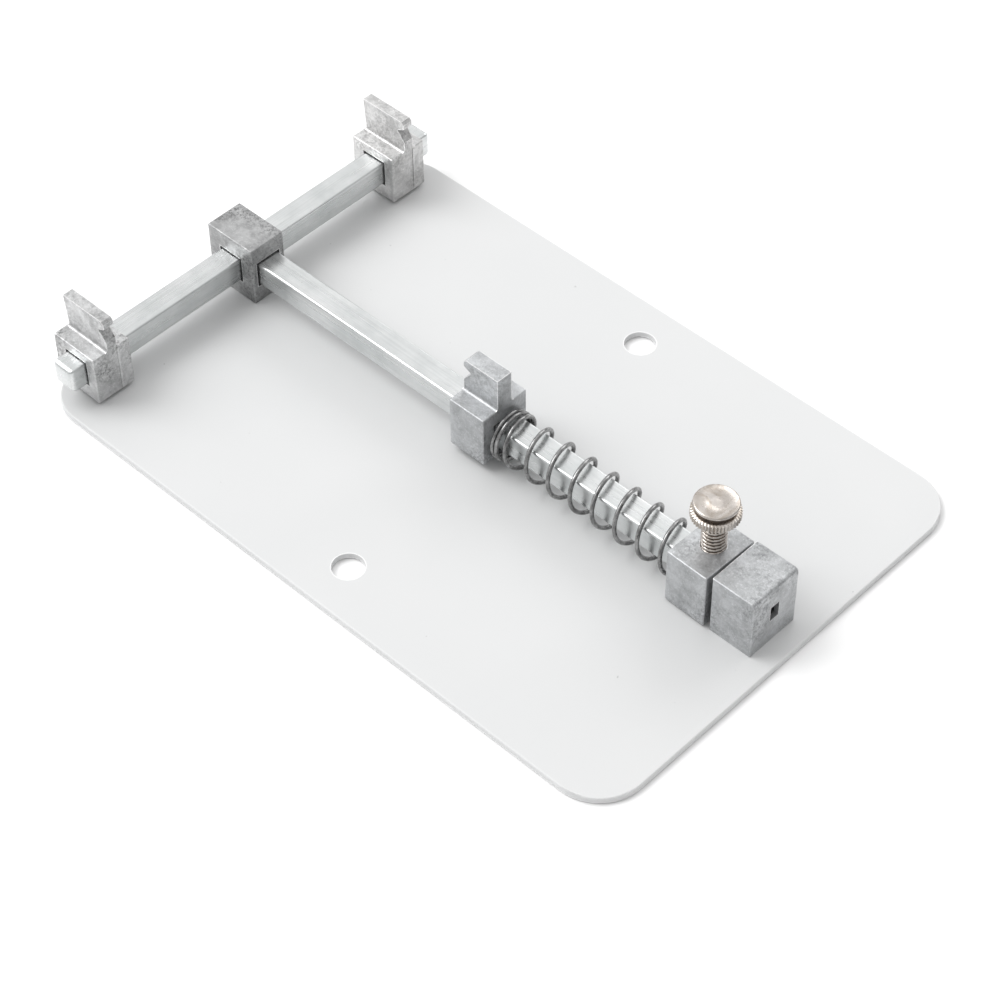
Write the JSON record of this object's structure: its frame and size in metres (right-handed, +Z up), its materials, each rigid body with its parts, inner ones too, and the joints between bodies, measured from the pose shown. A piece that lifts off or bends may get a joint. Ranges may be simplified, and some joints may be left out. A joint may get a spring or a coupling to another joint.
{
  "type": "pcb holder vise",
  "caption": "Flat base plate with a T of square bars carrying two sliding jaws, a spring-loaded jaw and a stop locked by a thumb screw; grips a circuit board by its edges.",
  "frame": {"origin": "centre of the base plate, on its underside", "axes": "+X along the main rail from the crosshead to the end block, +Y along the crossbar, +Z up"},
  "size_m": [0.12, 0.081, 0.0208],
  "materials": {
    "plate_enamel": "satin pale grey paint on sheet steel",
    "cast_zinc": "tumbled zinc die casting, mottled grey with bright worn edges",
    "plated_bar": "bright zinc plate with fine drawing lines",
    "rivet_steel": "plain bright steel",
    "spring_steel": "dark oiled spring wire",
    "screw_nickel": "nickel plated, with a warm tint"
  },
  "bodies": {
    "base": {"base_plate": "plate_enamel", "crosshead_block": "cast_zinc", "crossbar": "plated_bar", "main_rail": "plated_bar", "end_block": "cast_zinc", "plate_rivets": "rivet_steel"},
    "left_jaw": {"left_jaw": "cast_zinc"},
    "right_jaw": {"right_jaw": "cast_zinc"},
    "stop": {"stop_block": "cast_zinc", "jaw_spring": "spring_steel"},
    "sliding_jaw": {"sliding_jaw": "cast_zinc"},
    "screw": {"thumb_screw": "screw_nickel"}
  },
  "joints": [
    {"name": "left_jaw_slide", "type": "slide", "parent": "base", "child": "left_jaw", "axis": [0, 1, 0], "range_m": [-0.002, 0.0245]},
    {"name": "right_jaw_slide", "type": "slide", "parent": "base", "child": "right_jaw", "axis": [0, -1, 0], "range_m": [-0.002, 0.0245]},
    {"name": "stop_slide", "type": "slide", "parent": "base", "child": "stop", "axis": [-1, 0, 0], "range_m": [0, 0.044]},
    {"name": "sliding_jaw_slide", "type": "slide", "parent": "stop", "child": "sliding_jaw", "axis": [1, 0, 0], "range_m": [0, 0.024], "stiffness_N_per_m": 570, "deforming": ["jaw_spring"]},
    {"name": "thumb_screw_turn", "type": "hinge", "parent": "stop", "child": "screw", "pos_m": [0.04398, 0.0006, 0.0193], "axis": [0, 0, 1], "range_deg": [0, 720]}
  ]
}
